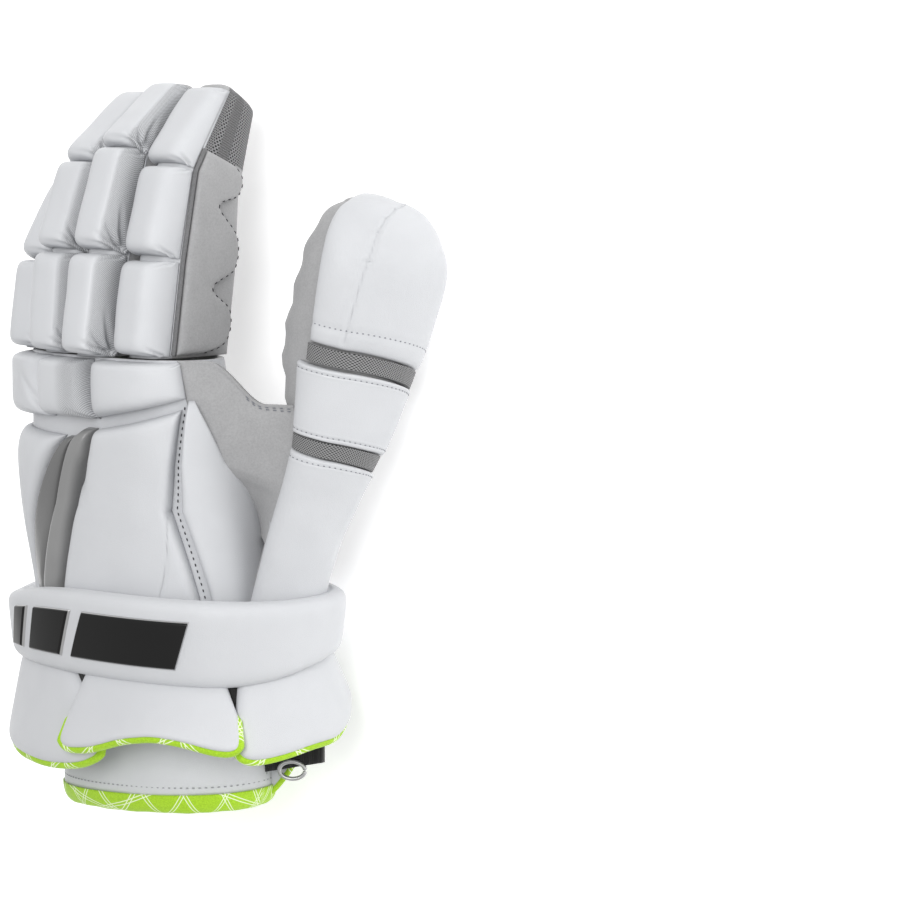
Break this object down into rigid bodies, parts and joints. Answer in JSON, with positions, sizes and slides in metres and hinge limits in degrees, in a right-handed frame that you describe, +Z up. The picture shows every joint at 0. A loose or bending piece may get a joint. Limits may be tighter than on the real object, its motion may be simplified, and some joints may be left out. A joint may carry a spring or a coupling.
{
  "type": "lacrosse glove",
  "caption": "Padded left-hand lacrosse glove with segmented finger pads, thumb cap, cuff strap with raised bars, flared cuff plates and a lined wrist guard.",
  "frame": {"origin": "on the surface that the glove rests on, under the middle of its box", "axes": "+X towards the thumb side, +Y from the wrist to the fingertips, +Z up out of the back of the hand"},
  "size_m": [0.2244, 0.3332, 0.1126],
  "materials": {
    "shell_leather": "smooth coated, faint grain",
    "suede": "matt napped suede",
    "knit_mesh": "open knitted mesh",
    "gray_inlay": "glossy moulded",
    "black_gloss": "glossy with a silver edge",
    "green_lining": "brushed knit",
    "black_elastic": "ribbed elastic webbing"
  },
  "bodies": {
    "root": {"back_plate": "shell_leather", "thumb_side_panel": "shell_leather", "back_outer_pad": "shell_leather", "index_knuckle_pad": "shell_leather", "middle_knuckle_pad": "shell_leather", "ring_knuckle_pad": "shell_leather", "thumb_tip_cap": "shell_leather", "thumb_mid_section": "shell_leather", "thumb_base_section": "shell_leather", "cuff_strap": "shell_leather", "cuff_plate_right": "shell_leather", "cuff_plate_centre": "shell_leather", "cuff_plate_left": "shell_leather", "wrist_guard": "shell_leather", "index_base_pad": "shell_leather", "index_middle_pad": "shell_leather", "index_tip_pad": "shell_leather", "index_sleeve": "suede", "middle_base_pad": "shell_leather", "middle_middle_pad": "shell_leather", "middle_tip_pad": "shell_leather", "middle_sleeve": "suede", "ring_base_pad": "shell_leather", "ring_middle_pad": "shell_leather", "ring_tip_pad": "shell_leather", "ring_sleeve": "suede", "little_base_pad": "shell_leather", "little_middle_pad": "shell_leather", "little_tip_pad": "shell_leather", "little_sleeve": "suede", "palm": "suede", "index_side_pad": "suede", "thumb_sleeve": "suede", "web_panel": "suede", "thumb_band_upper": "knit_mesh", "thumb_band_lower": "knit_mesh", "inlay_ridge": "gray_inlay", "inlay_blade": "gray_inlay", "cuff_bar_long": "black_gloss", "cuff_bar_middle": "black_gloss", "cuff_bar_short": "black_gloss", "guard_lining": "green_lining", "wrist_elastic": "black_elastic"}
  },
  "joints": []
}
